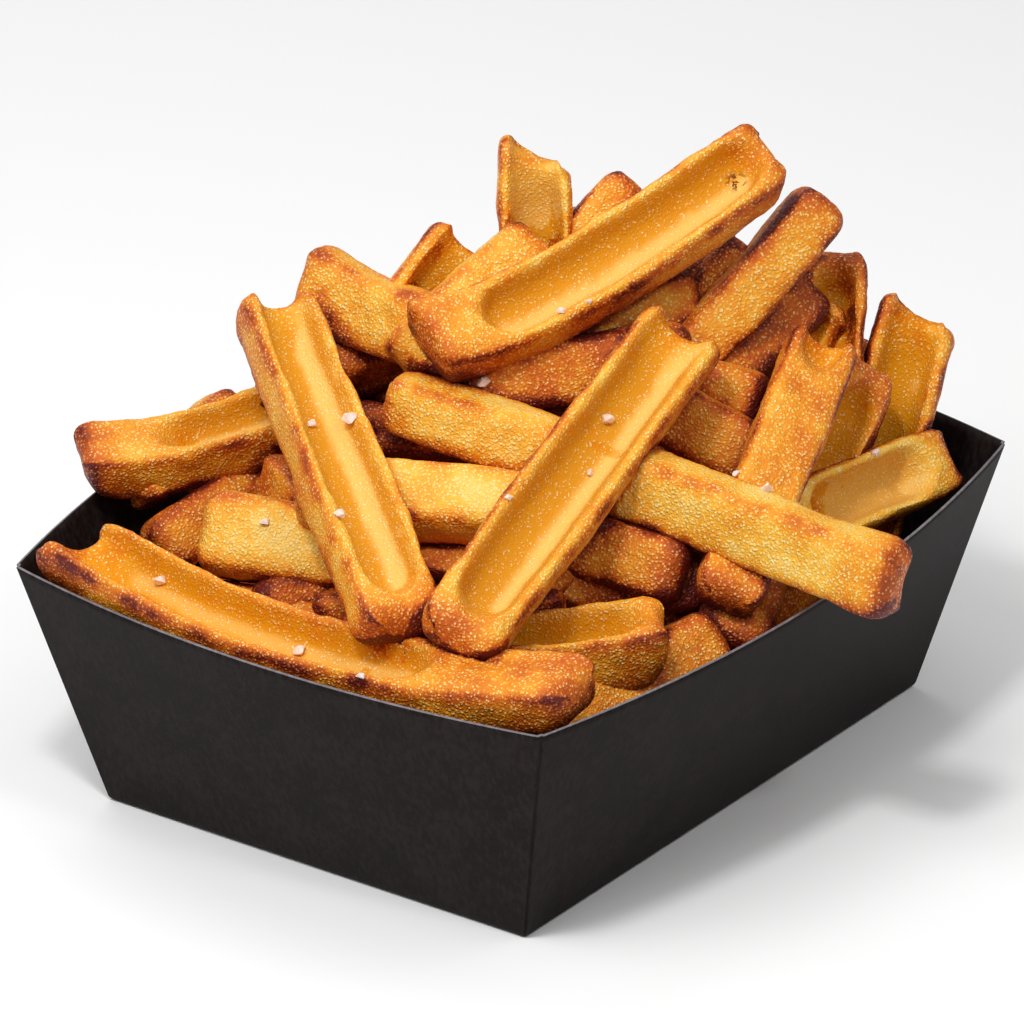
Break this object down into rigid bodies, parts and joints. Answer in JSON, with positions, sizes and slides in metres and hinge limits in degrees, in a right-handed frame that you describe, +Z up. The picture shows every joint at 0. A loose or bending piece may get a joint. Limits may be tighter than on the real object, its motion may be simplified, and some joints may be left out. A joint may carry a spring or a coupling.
{
  "type": "french fries in a carton",
  "caption": "Heap of thick scooped french fries in an open folded board tray with walls that lean and bow outwards.",
  "frame": {"origin": "middle of the underside of the carton's base", "axes": "+X along the carton's long side, +Y along its short side towards the far long wall, +Z up out of the carton"},
  "size_m": [0.167, 0.1621, 0.1163],
  "materials": {
    "board": "matte black uncoated paperboard with a fine fibre",
    "potato": "fried potato with a crisp, granular golden crust"
  },
  "bodies": {
    "root": {"carton": "board", "fries": "potato"}
  },
  "joints": []
}
